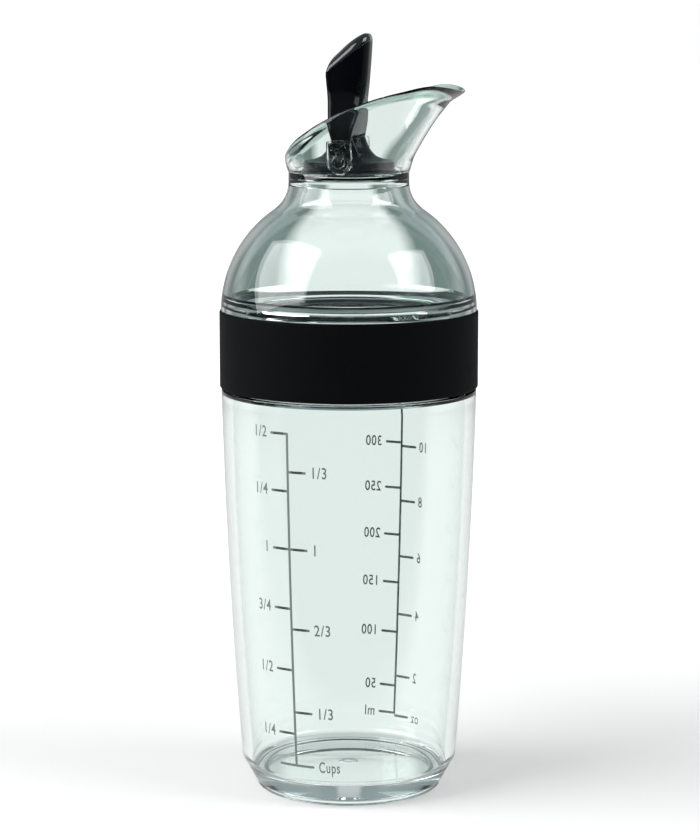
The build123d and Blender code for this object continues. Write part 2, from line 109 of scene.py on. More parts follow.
CAP_BACK = (-5.6, 211.1)
CAP_FRONT = (6.3, 220.4)
LINK_X, LINK_Z = 3.6216, 187.75
EYE_ROOT, EYE_ROOT_R, EYE_LINK_R = (1.3, 192.4), 1.45, 1.15
EYE_IN_Y, EYE_OUT_Y = 9.7, 11.75
SLOT_R, SLOT_STRETCH, SLOT_AHEAD = 0.97, 0.2, 0.17

# Printed marks: height, side of the line, words
CUP_MARKS = ((110.7, -1, "1/2"), (99.7, 1, "1/3"), (94.1, -1, "1/4"), (77.2, -1, "1"),
             (77.2, 1, "1"), (59.6, -1, "3/4"), (53.6, 1, "2/3"), (41.3, -1, "1/2"),
             (28.7, 1, "1/3"), (22.1, -1, "1/4"), (12.5, 1, "Cups"))
METRIC_MARKS = ((98.0, 1, "300"), (83.8, 1, "250"), (69.1, 1, "200"), (54.1, 1, "150"),
                (38.5, 1, "100"), (21.6, 1, "50"), (13.0, 1, "ml"), (96.9, -1, "10"),
                (79.8, -1, "8"), (62.4, -1, "6"), (44.2, -1, "4"), (24.7, -1, "2"),
                (12.2, -1, "oz"))
CUP_LINE, CUP_AZIMUTH, CUP_SIZE = (110.7, 12.5), -108.5, 4.6
METRIC_LINE, METRIC_AZIMUTH, METRIC_SIZE = (108.425, 12.975), 71.5, 4.4
WORD_WEIGHT, WORD_SPACING, WORD_GAP = 0.06, 1.12, 1.3
NARROW, CUPS_NARROW = 0.77, 0.6
PRINT_LIFT = 0.04
# Painted light: the rear scale's ink is made lighter than the front's, for the far print seen through
# the walls.
REAR_INK_PAINTED_LIGHT = 1.7

# Camera of the photograph
CAMERA_AT = (0.1238, -0.7397, 0.2266)
CAMERA_PITCH = 8.87
CAMERA_AIM_RIGHT = 0.00032
CAMERA_LENS = 132.1

# Black flags at both sides of the backdrop: the axis across the view, and levels by the sine
FLAG_AXIS = (0.986, 0.165, 0.0)
FLAG_LEVELS = ((0.06, 1.0), (0.09, (0.19, 0.25, 0.235)), (0.18, (0.22, 0.28, 0.265)), (0.27, 0.6),
               (0.42, 0.5), (0.55, (0.18, 0.22, 0.22)), (0.85, (0.3, 0.36, 0.36)))
DIM_FRONT = (0.13, 0.16, 0.17)
DIM_SIDES = (0.30, 0.34, 0.34)
DIM_OVERHEAD = (0.27, 0.33, 0.35)
PAPER = 0.92

# Softboxes: name, direction from the shaker, direction of the long side, width, height, power
SOFTBOXES = (("left_softbox", (-0.773, -0.373, 0.513), (0.6, -0.755, 0.27), 1.1, 1.1, 15.0),
             ("right_softbox", (0.824, -0.089, 0.56), (0.3, 0.91, -0.28), 0.7, 0.6, 5.5))
SOFTBOX_REACH, SHAKER_MIDDLE = 1.1, (0, 0, 0.15)

LENGTH = {"unit": "LENGTH", "subtype": "DISTANCE"}
COLOUR = {"size": 3, "subtype": "COLOR", "min": 0, "max": 1}


class ShakerSizes(bpy.types.PropertyGroup):
    """Sizes of the dressed shaker that a user may want to change."""
    band_radius: FloatProperty(
        name="Band radius", description="Outer radius of the grip band", default=0.038,
        min=0.0376, max=0.0382, **LENGTH)
    thread_depth: FloatProperty(
        name="Thread depth", description="How far the container's thread stands out",
        default=0.0008, min=0.0003, max=0.001, **LENGTH)
    thread_lead: FloatProperty(
        name="Thread lead", description="Rise of the lid's thread in one turn", default=0.010,
        min=0.006, max=0.014, **LENGTH)
    line_width: FloatProperty(
        name="Scale line width", description="Width of the printed lines", default=0.00075,
        min=0.0003, max=0.0012, **LENGTH)
    tick_length: FloatProperty(
        name="Scale tick length", description="Length of a printed tick", default=0.0057,
        min=0.002, max=0.008, **LENGTH)
    cap_height: FloatProperty(
        name="Cap height", description="How far the lever's cap domes above its parting line",
        default=0.00318, min=0.002, max=0.0036, **LENGTH)
    round_steps: IntProperty(
        name="Steps round", description="Columns of faces round the turned pieces", default=240,
        min=96, max=320)


class ShakerColours(bpy.types.PropertyGroup):
    """Colours of the dressed shaker."""
    clear: FloatVectorProperty(
        name="Clear plastic", description="Tint of the clear plastic seen square on",
        default=(0.925, 0.978, 0.958), **COLOUR)
    # Painted shade: the tint at grazing angles is darker than the plastic's own and stands for the
    # dark refractions at the edges.
    clear_edge_shade: FloatVectorProperty(
        name="Clear edge", description="Tint of the clear plastic seen edge on",
        default=(0.36, 0.47, 0.44), **COLOUR)
    # Painted shade: the darker tint over the thick lip stands for the dark refraction through it.
    lip: FloatVectorProperty(
        name="Spout lip", description="Tint of the thick lip under the spout's rim",
        default=(0.53, 0.63, 0.59), **COLOUR)
    band: FloatVectorProperty(
        name="Grip band", description="Colour of the soft band",
        default=(0.003, 0.0034, 0.0043), **COLOUR)
    gloss: FloatVectorProperty(
        name="Gloss black", description="Colour of the lever, cap and stopper",
        default=(0.0018, 0.0021, 0.003), **COLOUR)
    seal: FloatVectorProperty(
        name="Seal", description="Colour of the stopper's seal",
        default=(0.028, 0.046, 0.056), **COLOUR)
    ink: FloatVectorProperty(
        name="Scale ink", description="Colour of the printed scales",
        default=(0.15, 0.185, 0.17), **COLOUR)


def sizes():
    return bpy.context.scene.shaker_sizes


def colours():
    return bpy.context.scene.shaker_colours


# Shapes

def smooth_curve(at, knots, values):
    """Cubic Hermite curve through (knots, values), its slope at a knot taken from both neighbours."""
    at = np.asarray(at, float)
    knots, values = np.asarray(knots, float), np.asarray(values, float)
    slopes = np.gradient(values, knots)
    i = np.clip(np.searchsorted(knots, at) - 1, 0, len(knots) - 2)
    gap = knots[i + 1] - knots[i]
    t = np.clip((at - knots[i]) / gap, 0, 1)
    return (values[i] * (1 + 2 * t) * (1 - t) ** 2 + slopes[i] * gap * t * (1 - t) ** 2
            + values[i + 1] * t * t * (3 - 2 * t) + slopes[i + 1] * gap * t * t * (t - 1))


def rounded(corners, steps=5):
    """A closed outline through corners of (r, z, radius), each rounded by an exact circular arc:
    a rational quadratic curve from one tangent point to the other, weighted by the half angle."""
    rows = np.array(corners, float)
    point, radius = rows[:, :2], rows[:, 2]
    to_last, to_next = np.roll(point, 1, 0) - point, np.roll(point, -1, 0) - point
    len_last, len_next = np.linalg.norm(to_last, axis=1), np.linalg.norm(to_next, axis=1)
    to_last, to_next = to_last / len_last[:, None], to_next / len_next[:, None]
    half = np.arccos(np.clip((to_last * to_next).sum(1), -1, 1)) / 2
    reach = np.minimum(radius / np.maximum(np.tan(half), 1e-6), 0.48 * np.minimum(len_last, len_next))
    first, last = point + to_last * reach[:, None], point + to_next * reach[:, None]
    t = np.linspace(0, 1, steps)[None, :, None]
    weight = np.sin(half)[:, None, None]
    top = ((1 - t) ** 2 * first[:, None] + 2 * t * (1 - t) * weight * point[:, None]
           + t ** 2 * last[:, None])
    arc = top / ((1 - t) ** 2 + 2 * t * (1 - t) * weight + t ** 2)
    keep = np.ones(arc.shape[:2], bool)
    keep[reach < 1e-6, 1:] = False
    return arc[keep]


def arc_points(centre, radius, start, stop, count):
    """Points on a circle in the profile plane, from one angle to another in degrees."""
    turn = np.radians(np.linspace(start, stop, count))
    return np.stack([centre[0] + radius * np.cos(turn), centre[1] + radius * np.sin(turn)], 1)


def arc_through(a, b, c, count):
    """Points on the circle through a, b and c, from a to c."""
    (ax, ay), (bx, by), (cx, cy) = a, b, c
    d = 2 * (ax * (by - cy) + bx * (cy - ay) + cx * (ay - by))
    sa, sb, sc = ax * ax + ay * ay, bx * bx + by * by, cx * cx + cy * cy
    ux = (sa * (by - cy) + sb * (cy - ay) + sc * (ay - by)) / d
    uy = (sa * (cx - bx) + sb * (ax - cx) + sc * (bx - ax)) / d
    turns = np.unwrap([np.arctan2(p[1] - uy, p[0] - ux) for p in (a, b, c)])
    radius = np.hypot(ax - ux, ay - uy)
    return arc_points((ux, uy), radius, np.degrees(turns[0]), np.degrees(turns[2]), count)


def plain(points):
    """Profile points as corners with no rounding."""
    points = np.asarray(points, float)
    return np.concatenate([points, np.zeros((len(points), 1))], 1).tolist()


def full_turn(steps):
    """Angles of one full turn in equal steps."""
    return np.linspace(0, 2 * pi, steps, endpoint=False)


def about_axis(r, turn, z):
    """Points at radius r, angle turn and height z, spread over each other's shapes."""
    return np.stack(np.broadcast_arrays(r * np.cos(turn), r * np.sin(turn), z), -1)


def grid_faces(u, v, loop_u=False, loop_v=False):
    """Four-sided faces between the points of a (u, v) grid, closed along u, v or both."""
    index = np.arange(u * v).reshape(u, v)
    a = index if loop_u else index[:-1]
    b = np.roll(index, -1, 0) if loop_u else index[1:]
    if loop_v:
        quads = np.stack([a, b, np.roll(b, -1, 1), np.roll(a, -1, 1)], -1)
    else:
        quads = np.stack([a[:, :-1], b[:, :-1], b[:, 1:], a[:, 1:]], -1)
    return quads.reshape(-1, 4).tolist()


def grid_object(name, grid, loop_u=True, loop_v=True, caps=False, sharp=35):
    """A mesh object from points on a (u, v) grid in millimetres; caps closes the ends along u."""
    u, v = grid.shape[:2]
    points, faces = grid.reshape(-1, 3), grid_faces(u, v, loop_u, loop_v)
    if caps:
        points = np.concatenate([points, grid[[0, -1]].mean(1)])
        near = np.arange(v)
        far = near + (u - 1) * v
        faces += np.stack([np.full(v, u * v), near, np.roll(near, -1)], 1).tolist()
        faces += np.stack([np.full(v, u * v + 1), np.roll(far, -1), far], 1).tolist()
    return mesh_object(name, points, faces, sharp)


def mesh_object(name, points, faces, sharp=35, closed=True):
    """Puts points in millimetres and faces into a mesh, welds its poles, turns its faces outwards
    and links its object at the origin."""
    mesh = bpy.data.meshes.new(name)
    mesh.from_pydata(np.asarray(points) * MM, [], faces)
    work = bmesh.new()
    work.from_mesh(mesh)
    bmesh.ops.remove_doubles(work, verts=work.verts, dist=2e-6)
    if closed:
        bmesh.ops.recalc_face_normals(work, faces=work.faces)
    work.to_mesh(mesh)
    work.free()
    shade(mesh, sharp)
    return linked(name, mesh)


def linked(name, data):
    """A new object at the origin with a mesh, text, lamp or camera."""
    piece = bpy.data.objects.new(name, data)
    bpy.context.scene.collection.objects.link(piece)
    return piece


def evaluated_mesh(piece):
    """A mesh of what a piece's modifiers or text make."""
    bpy.context.view_layer.update()
    evaluated = piece.evaluated_get(bpy.context.evaluated_depsgraph_get())
    return bpy.data.meshes.new_from_object(evaluated)


def shade(mesh, sharp=35):
    """Shades a mesh smooth except over edges sharper than an angle in degrees."""
    mesh.polygons.foreach_set("use_smooth", np.ones(len(mesh.polygons), bool))
    mesh.set_sharp_from_angle(angle=radians(sharp))


def turned(name, outline):
    """One turn of a closed (r, z) outline about the axis."""
    turn = full_turn(sizes().round_steps)[:, None]
    return grid_object(name, about_axis(outline[:, 0], turn, outline[:, 1]))


def hinge_rod(name, outline, side=1):
    """One turn of a closed (r, y) outline about the hinge's axis, on the side of +Y or -Y."""
    turn = full_turn(64)[:, None]
    r, y = np.array(outline, float).T
    x, z = np.cos(turn) * r, PIVOT_Z + np.sin(turn) * r
    return grid_object(name, np.stack(np.broadcast_arrays(x, side * y, z), -1))


def slab_along_y(name, outline, y0, y1, edge=0.0):
    """A closed (x, z) outline carried from y0 to y1, drawn in by edge over the last edge of Y."""
    centre = outline.mean(0)
    arm = outline - centre
    length = np.linalg.norm(arm, axis=1, keepdims=True)
    steps = [(y0, edge), (y0 + edge * 0.3, edge * 0.3), (y0 + edge, 0), (y1 - edge, 0),
             (y1 - edge * 0.3, edge * 0.3), (y1, edge)] if edge else [(y0, 0), (y1, 0)]
    rows = [np.insert(centre + arm * (1 - drawn / length), 1, y, axis=1) for y, drawn in steps]
    return grid_object(name, np.stack(rows), loop_u=False, caps=True)


def combine(piece, cutter, operation="DIFFERENCE"):
    """Takes the cutter's volume out of the piece, or joins it on, and removes the cutter."""
    modifier = piece.modifiers.new("cut", "BOOLEAN")
    modifier.operation = operation
    modifier.solver = "EXACT"
    modifier.object = cutter
    cut = evaluated_mesh(piece)
    piece.modifiers.clear()
    piece.data = cut
    bpy.data.objects.remove(cutter)
    if len(cut.polygons) < 10:
        raise RuntimeError(piece.name + " was lost in its cut")
    shade(cut)


# Shader nodes

def feed(tree, socket, value):
    """Links a socket into an input, or gives the input a plain value, grey level or colour."""
    if isinstance(value, bpy.types.NodeSocket):
        tree.links.new(value, socket)
    elif socket.type != "RGBA":
        socket.default_value = value
    else:
        socket.default_value = (*value, 1) if isinstance(value, tuple) else (value,) * 3 + (1,)


def node(tree, kind, inputs=(), **settings):
    """A new shader node with its settings, and with inputs by name or place."""
    made = tree.nodes.new("ShaderNode" + kind)
    for setting, value in settings.items():
        setattr(made, setting, value)
    for place, value in dict(inputs).items():
        feed(tree, made.inputs[place], value)
    return made


def math_node(tree, operation, *values):
    """The output of a math node on sockets or plain numbers."""
    return node(tree, "Math", enumerate(values), operation=operation).outputs[0]


def mix_node(tree, blend, share, first, second):
    """The output of a mix of two colours or grey levels by a share."""
    return node(tree, "Mix", {0: share, 6: first, 7: second}, data_type="RGBA",
                blend_type=blend).outputs[2]


def share_node(tree, value, low, high, curve="LINEAR"):
    """How far a value has come from low to high, from 0 to 1."""
    return node(tree, "MapRange", {"Value": value, "From Min": low, "From Max": high},
                interpolation_type=curve).outputs["Result"]


def ramp_node(tree, along, *stops, curve="LINEAR"):
    """The colour of a ramp along a value, from grey levels or colours at places from 0 to 1."""
    made = node(tree, "ValToRGB", {"Fac": along})
    steps = made.color_ramp.elements
    while len(steps) < len(stops):
        steps.new(0.5)
    for step, (place, level) in zip(steps, stops):
        step.position = place
        step.color = (*level, 1) if isinstance(level, tuple) else (level, level, level, 1)
    made.color_ramp.interpolation = curve
    return made.outputs["Color"]


def new_group(name, inputs, outputs):
    """A node group with inputs by their defaults and outputs by their kinds; returns it, the
    sockets that come in and the sockets that go out."""
    group = bpy.data.node_groups.new(name, "ShaderNodeTree")
    face = group.interface
    for label, default in inputs.items():
        kind = "NodeSocketVector" if isinstance(default, tuple) else "NodeSocketFloat"
        face.new_socket(label, in_out="INPUT", socket_type=kind).default_value = default
    for label, kind in outputs.items():
        face.new_socket(label, in_out="OUTPUT", socket_type="NodeSocket" + kind)
    nodes = group.nodes
    return group, nodes.new("NodeGroupInput").outputs, nodes.new("NodeGroupOutput").inputs


# Materials

def new_material(name, inputs=()):
    """A material of one principled shader with some inputs set; returns it, its tree and the
    shader."""
    material = bpy.data.materials.new(name)
    material.use_nodes = True
    tree = material.node_tree
    tree.nodes.clear()
    shader = node(tree, "BsdfPrincipled", inputs)
    node(tree, "OutputMaterial", {"Surface": shader.outputs["BSDF"]})
    return material, tree, shader


def grain_group():
    """Node group: soft mottling round a base value, and a fine surface height."""
    if "moulded_grain" in bpy.data.node_groups:
        return bpy.data.node_groups["moulded_grain"]
    group, inputs, outputs = new_group(
        "moulded_grain", {"Base": 0.3, "Spread": 0.1, "Broad Scale": 60.0, "Fine Scale": 900.0,
                          "Fine Share": 0.5}, {"Value": "Float", "Height": "Float"})
    place = node(group, "TexCoord").outputs["Object"]
    broad, fine = [
        node(group, "TexNoise", {"Vector": place, "Scale": inputs[scale], "Detail": detail})
        .outputs["Fac"] for scale, detail in (("Broad Scale", 3), ("Fine Scale", 2))]
    centred = math_node(group, "SUBTRACT", broad, 0.5)
    value = math_node(group, "MULTIPLY_ADD", centred, inputs["Spread"], inputs["Base"])
    height = node(group, "Mix", {"Factor": inputs["Fine Share"], "A": broad, "B": fine},
                  data_type="FLOAT")
    feed(group, outputs["Value"], value)
    feed(group, outputs["Height"], height.outputs["Result"])
    return group


def add_grain(tree, shader, base, spread, broad, fine, share, bump, depth):
    """Feeds the shared grain into a shader's roughness and, through a bump, into its normal;
    returns the grain's height."""
    grain = node(tree, "Group", {"Base": base, "Spread": spread, "Broad Scale": broad,
                                 "Fine Scale": fine, "Fine Share": share},
                 node_tree=grain_group())
    height = grain.outputs["Height"]
    relief = node(tree, "Bump", {"Strength": bump, "Distance": depth, "Height": height})
    feed(tree, shader.inputs["Roughness"], grain.outputs["Value"])
    feed(tree, shader.inputs["Normal"], relief.outputs["Normal"])
    return height


def grained_material(name, colour, shift, grain, inputs=()):
    """A material with the shared grain, given as add_grain's values from base to depth, its
    colour varied by the grain's height from a shade shift darker to one shift lighter."""
    material, tree, shader = new_material(name, inputs)
    height = add_grain(tree, shader, *grain)
    dark, light = [tuple(c * (1 + way * shift) for c in colour) for way in (-1, 1)]
    feed(tree, shader.inputs["Base Color"], ramp_node(tree, height, (0.0, dark), (1.0, light)))
    return material


def lip_shade_group():
    """Node group: the mask of the painted lip shade, 1 in the thick rolled lip under the spout's rim
    and 0 below it, from the height of the lip's lower edge over X."""
    group, _, outputs = new_group("spout_lip_shade", {}, {"Value": "Float"})
    place = node(group, "TexCoord").outputs["Object"]
    split = node(group, "SeparateXYZ", {"Vector": place}).outputs
    along = share_node(group, split["X"], LIP_X[0] * MM, LIP_X[-1] * MM)
    width, base, span = LIP_X[-1] - LIP_X[0], 170.0, 40.0
    edge = ramp_node(group, along, *[((x - LIP_X[0]) / width, (z - base) / span)
                                     for x, z in zip(LIP_X, LIP_Z)])
    height = share_node(group, split["Z"], base * MM, (base + span) * MM)
    over = math_node(group, "SUBTRACT", height, edge)
    feed(group, outputs["Value"], share_node(group, over, -0.008, 0.012, "SMOOTHSTEP"))
    return group


def clear_material(name, lip=False):
    """Polished clear plastic: full transmission, and a tint with painted shade that darkens it
    towards its edges and, on the lid, in the thick lip of the spout, for the dark refractions there."""
    material, tree, shader = new_material(name, {
        "Transmission Weight": 1.0, "Metallic": 0.0, "IOR": 1.5, "Specular IOR Level": 0.36})
    add_grain(tree, shader, base=0.012, spread=0.012, broad=14, fine=260, share=0.15, bump=0.02,
              depth=0.0004)
    # Painted shade: the tint darkens towards grazing angles for the dark refractions at the edges.
    facing = node(tree, "LayerWeight", {"Blend": 0.35}).outputs["Facing"]
    colour = ramp_node(tree, facing, (0.35, tuple(colours().clear)),
                       (0.97, tuple(colours().clear_edge_shade)), curve="EASE")
    # Painted shade over the thick lip, for the dark refraction through it.
    if lip:
        thick = node(tree, "Group", node_tree=lip_shade_group()).outputs["Value"]
        colour = mix_node(tree, "MULTIPLY", thick, colour, tuple(colours().lip))
    feed(tree, shader.inputs["Base Color"], colour)
    return material


def gloss_material(name, roughness, specular=0.14):
    """Polished black moulding with faint flow mottling."""
    return grained_material(name, colours().gloss, 0.25,
                            (roughness, 0.08, 90, 1400, 0.35, 0.03, 0.0002),
                            {"IOR": 1.49, "Specular IOR Level": specular})


def soft_material(name, colour, roughness, sheen, fine, specular=0.16, clear=0.0):
    """Soft elastomer: satin to matte, with a fine grain and a little sheen."""
    return grained_material(name, colour, 0.3, (roughness, 0.12, 120, fine, 0.75, 0.12, 0.0002),
                            {"Sheen Weight": sheen, "Sheen Roughness": 0.45,
                             "Specular IOR Level": specular, "Transmission Weight": clear})


def ink_material(name, colour):
    """Matt print with slightly uneven cover."""
    return grained_material(name, colour, 0.2, (0.5, 0.2, 700, 4000, 0.5, 0.05, 0.0001))


def steel_material(name):
    """Turned stainless steel with a faintly uneven finish."""
    return grained_material(name, (0.6, 0.6, 0.61), 0.12,
                            (0.28, 0.15, 400, 3000, 0.6, 0.06, 0.0001), {"Metallic": 1.0})


def dress(piece, material, body, slot, *nodes):
    """Gives a piece its material and body, and hides the frame nodes that it stands for. The slot is
    not used.
    """
    piece.data.materials.clear()
    piece.data.materials.append(material)
    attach(piece, body)
    if nodes:
        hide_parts(*nodes)


# Container

def container_radius(z):
    """Outer radius of the container's wall at a height: the arc through heel, middle and top."""
    arc = arc_through((HEEL_R, HEEL_Z), BODY_MID, BODY_TOP, 60)
    return np.interp(z, arc[:, 1], arc[:, 0])


def container_outline():
    """Closed profile of the container: foot ring, heel, wall, neck finish, bore, floor."""
    wall_in = HEEL_R - WALL_T
    outer = arc_through((HEEL_R, HEEL_Z), BODY_MID, BODY_TOP, 40)
    inner = arc_through((34.3, 117.7), (BODY_MID[0] - WALL_T, BODY_MID[1]),
                        (wall_in, FLOOR_Z + 3.6), 40)
    return rounded(
        plain([(0, 3.0)]) + [(2.2, 3.2, 0.5), (2.9, 2.3, 0.2), (FOOT_IN_R - 0.5, 2.3, 0.6),
                             (FOOT_IN_R, 0, 0.6), (FOOT_R, 0, 0.5), (FOOT_R, 1.35, 0.3),
                             (FOOT_R + 0.6, 1.7, 0.3), (HEEL_R - 0.05, HEEL_Z - 0.3, 0.5)]
        + plain(outer)
        + [(37.5, SHOULDER_Z, 0.5), (FINISH_R, SHOULDER_Z, 0.4), (FINISH_R, MOUTH_Z, 0.7),
           (FINISH_BORE_R, MOUTH_Z, 0.5), (FINISH_BORE_R, 118.05, 0.5)]
        + plain(inner) + [(wall_in - 0.05, FLOOR_Z, 3.5), (0.0, FLOOR_Z, 0.0)], 7)


def helix_ridge(name, r_root, r_crest, z_low, turns):
    """A rounded thread ridge: a half-round profile carried along a helix, tapering at both ends."""
    start, width, lead = 0.3, 1.2, sizes().thread_lead / MM
    t = np.linspace(0, 1, int(turns * 96))[:, None]
    fade = np.clip(np.minimum(t, 1 - t) * turns * 6, 0.02, 1)
    around = full_turn(14)
    r = r_root + (r_crest - r_root) * fade * np.cos(around)
    z = z_low + t * turns * lead + width * fade * np.sin(around)
    grid = about_axis(r, start + t * turns * 2 * pi, z)
    return grid_object(name, grid, loop_u=False, caps=True)


class SHAKER_OT_container(bpy.types.Operator):
    """Builds the clear container and its thread"""
    bl_idname = "shaker.container"
    bl_label = "Container"

    def execute(self, context):
        clear = clear_material("clear_copolyester")
        wall = turned("container_wall", container_outline())
        dress(wall, clear, "base", "clear_container", "container")
        ridge = helix_ridge("container_thread", FINISH_R - 0.3,
                            FINISH_R + sizes().thread_depth / MM, *CONTAINER_THREAD)
        dress(ridge, clear, "base", "clear_container")
        return {"FINISHED"}


# Printed scales

def on_wall(run, height, azimuth):
    """Wraps a flat print onto the wall: run in millimetres to the right of an azimuth, and height."""
    r = container_radius(height) + PRINT_LIFT
    return about_axis(r, np.radians(azimuth) + run / r, height)


def print_stroke(start, end, width, azimuth):
    """A printed line with round ends: its half width falls off as a half circle at each end."""
    start, end = np.array(start, float), np.array(end, float)
    length = np.linalg.norm(end - start)
    along = (end - start) / length
    across = np.array([-along[1], along[0]])
    half = width / 2
    ends = half * (1 - np.cos(np.linspace(0, pi / 2, 7)))
    middle = np.linspace(half, length - half, max(int(length / 2), 2))[1:-1]
    s = np.concatenate([ends, middle, length - ends[::-1]])
    near = np.clip(np.minimum(s, length - s), 0, half)
    reach = np.sqrt(np.maximum(half ** 2 - (half - near) ** 2, 0))
    side = np.array([-1.0, 0.0, 1.0])
    flat = start + s[:, None, None] * along + side[:, None] * reach[:, None, None] * across
    grid = on_wall(flat[..., 0], flat[..., 1], azimuth)
    return grid.reshape(-1, 3), grid_faces(*grid.shape[:2])


def print_words(words, run, height, azimuth, size):
    """Plain words as a flat mesh, made narrow, centred on a height and wrapped onto the wall."""
    curve = bpy.data.curves.new("words", "FONT")
    curve.body = words
    curve.size = size
    curve.offset = WORD_WEIGHT
    curve.space_character = WORD_SPACING
    curve.align_x = "LEFT" if run > 0 else "RIGHT"
    curve.align_y = "CENTER"
    holder = linked("words", curve)
    mesh = evaluated_mesh(holder)
    bpy.data.objects.remove(holder)
    flat = np.zeros(len(mesh.vertices) * 3)
    mesh.vertices.foreach_get("co", flat)
    x, y = flat.reshape(-1, 3).T[:2]
    faces = [list(face.vertices) for face in mesh.polygons]
    bpy.data.meshes.remove(mesh)
    narrow = CUPS_NARROW if words == "Cups" else NARROW
    return on_wall(x * narrow + run, y + height, azimuth), faces


def printed_scale(name, line, azimuth, size, marks):
    """One scale as one mesh: an upright line, and a tick and a word at each mark."""
    width, tick = sizes().line_width / MM, sizes().tick_length / MM
    parts = [print_stroke((0, line[0] + width / 2), (0, line[1] - width / 2), width, azimuth)]
    for height, side, words in marks:
        start = -tick if words == "Cups" else 0
        parts.append(print_stroke((start, height), (side * tick, height), width, azimuth))
        parts.append(print_words(words, side * (tick + WORD_GAP), height, azimuth, size))
    faces, offset = [], 0
    for part_points, part_faces in parts:
        faces += [[corner + offset for corner in face] for face in part_faces]
        offset += len(part_points)
    return mesh_object(name, np.concatenate([part[0] for part in parts]), faces, closed=False)


class SHAKER_OT_scales(bpy.types.Operator):
    """Prints the cup scale at the front and the metric scale at the rear"""
    bl_idname = "shaker.scales"
    bl_label = "Printed scales"

    def execute(self, context):
        cups = printed_scale("cup_scale_print", CUP_LINE, CUP_AZIMUTH, CUP_SIZE, CUP_MARKS)
        metric = printed_scale("metric_scale_print", METRIC_LINE, METRIC_AZIMUTH, METRIC_SIZE,
                               METRIC_MARKS)
        ink = colours().ink
        dress(cups, ink_material("scale_ink", ink), "base", "clear_container")
        # Painted light: a lighter copy of the same ink for the far print seen through the walls.
        dress(metric, ink_material("scale_ink_rear_painted_light", [channel * REAR_INK_PAINTED_LIGHT for channel in ink]),
              "base", "clear_container")
        return {"FINISHED"}


# Lid

def spout_radius(turn, z, reach, back):
    """Radius of the spout's wall: the back radius, swelling towards +X by a power of the cosine."""
    r_back = smooth_curve(z, SPOUT_Z, back)
    r_reach = smooth_curve(z, SPOUT_Z, reach)
    return r_back + (r_reach - r_back) * ((1 + np.cos(turn)) / 2) ** NOSE_POWER


def rim_height(turn, reach, back):
    """Height at which each column of the wall meets the rim line, found by halving."""
    low, high = np.full(turn.shape, SPOUT_Z[0]), np.full(turn.shape, SPOUT_Z[-1])
    for _ in range(40):
        middle = (low + high) / 2
        x = spout_radius(turn, middle, reach, back) * np.cos(turn)
        over = middle > smooth_curve(x, RIM_X, RIM_Z)
        low, high = np.where(over, low, middle), np.where(over, middle, high)
    return (low + high) / 2


def spout_wall(turn, reach, back, drop):
    """One wall of the spout as (r, z) rows that end below the rim by a drop, and its rim."""
    rise = rim_height(turn, reach, back)
    z = SPOUT_Z[0] + (rise - drop - SPOUT_Z[0]) * np.linspace(0, 1, 46)
    return (np.stack([spout_radius(turn, z, reach, back), z], -1),
            np.stack([spout_radius(turn, rise, reach, back), rise], -1))


def bent(start, corner, end, t):
    """Points on the quadratic curve from start to end that leans towards a corner."""
    return start * (1 - t) ** 2 + 2 * t * (1 - t) * corner + end * t ** 2


def lid_grid():
    """The whole lid as one closed surface: for each column round the axis, the dome's outer
    profile, up the spout's outer wall to the rim, over a rounded lip, down the inner wall, and
    back under the dome through the stopper's bore and the gasket's ledge."""
    steps = sizes().round_steps
    turn = full_turn(steps)[:, None]
    curve_r, inner_curve = NECK_R + NECK_CURVE, NECK_CURVE + DOME_WALL
    across = curve_r - DOME_CENTRE[0]
    curve_z = DOME_CENTRE[1] + np.sqrt((DOME_R + NECK_CURVE) ** 2 - across ** 2)
    lean = np.degrees(np.arctan2(curve_z - DOME_CENTRE[1], across))
    bore_turn = 180 + np.degrees(np.arcsin((curve_z - BORE_TOP_Z) / inner_curve))
    outer = np.concatenate([
        [(34.6, 120.4), (35.0, 120.0), (36.3, 120.0), (36.7, 120.4), (36.7, 142.3), (37.3, 142.42)],
        arc_points(DOME_CENTRE, DOME_R, 0.9, lean, 46),
        arc_points((curve_r, curve_z), NECK_CURVE, 180 + lean, 180, 16)[1:],
        [(NECK_R, 180.4), (NECK_R, 182.5), (NECK_R - 0.08, 182.7), (NECK_R - 0.02, 182.85)]])
    under = np.concatenate([
        [(15.5, 181.9), (15.3, 181.6), (14.15, 180.5), (14.0, 180.2), (14.0, 179.2), (14.0, 178.6)],
        arc_points((curve_r, curve_z), inner_curve, bore_turn, 180 + lean, 22),
        arc_points(DOME_CENTRE, DOME_R - DOME_WALL, lean, 8.5, 40)[1:],
        [(34.2, 146.3), (33.4, 145.6), (31.2, 144.0), (30.8, 143.6), (30.8, 142.5), (31.0, 142.3),
         (34.4, 142.3), (34.6, 142.1), (34.6, 131.0)]])
    wall_out, rim_out = spout_wall(turn, REACH_OUT, BACK_OUT, LIP_DEPTH)
    wall_in, rim_in = spout_wall(turn, REACH_IN, BACK_IN, LIP_DEPTH * 0.8)
    wall_in = wall_in[:, ::-1]
    t = np.linspace(0, 1, 11)[:, None]
    over = bent(wall_out[:, -1:], rim_out, rim_out + (rim_in - rim_out) * LIP_MEET, t[1:])
    back = bent(rim_in + (rim_out - rim_in) * LIP_MEET, rim_in, wall_in[:, :1], t[:-1])
    profile = np.concatenate([np.tile(outer, (steps, 1, 1)), wall_out, over, back, wall_in,
                              np.tile(under, (steps, 1, 1))], 1)
    return about_axis(profile[..., 0], turn, profile[..., 1])


def pad_loop(inset, y):
    """The hinge pad's U outline, round below and straight above, drawn in by an inset, its upper
    part leaning out into the wall."""
    r, top = PAD_R - inset, PAD_TOP - inset
    outline = np.concatenate([
        arc_points((0, PIVOT_Z), r, 180, 360, 33),
        [(r, PAD_BEND_Z), (r, top - 0.6), (r - 0.4, top - 0.1), (0, top), (0.4 - r, top - 0.1),
         (-r, top - 0.6), (-r, PAD_BEND_Z)]])
    lean = np.sign(y) * np.maximum(outline[:, 1] - PAD_BEND_Z, 0) * PAD_LEAN
    return np.stack([outline[:, 0], y + lean, outline[:, 1]], 1)


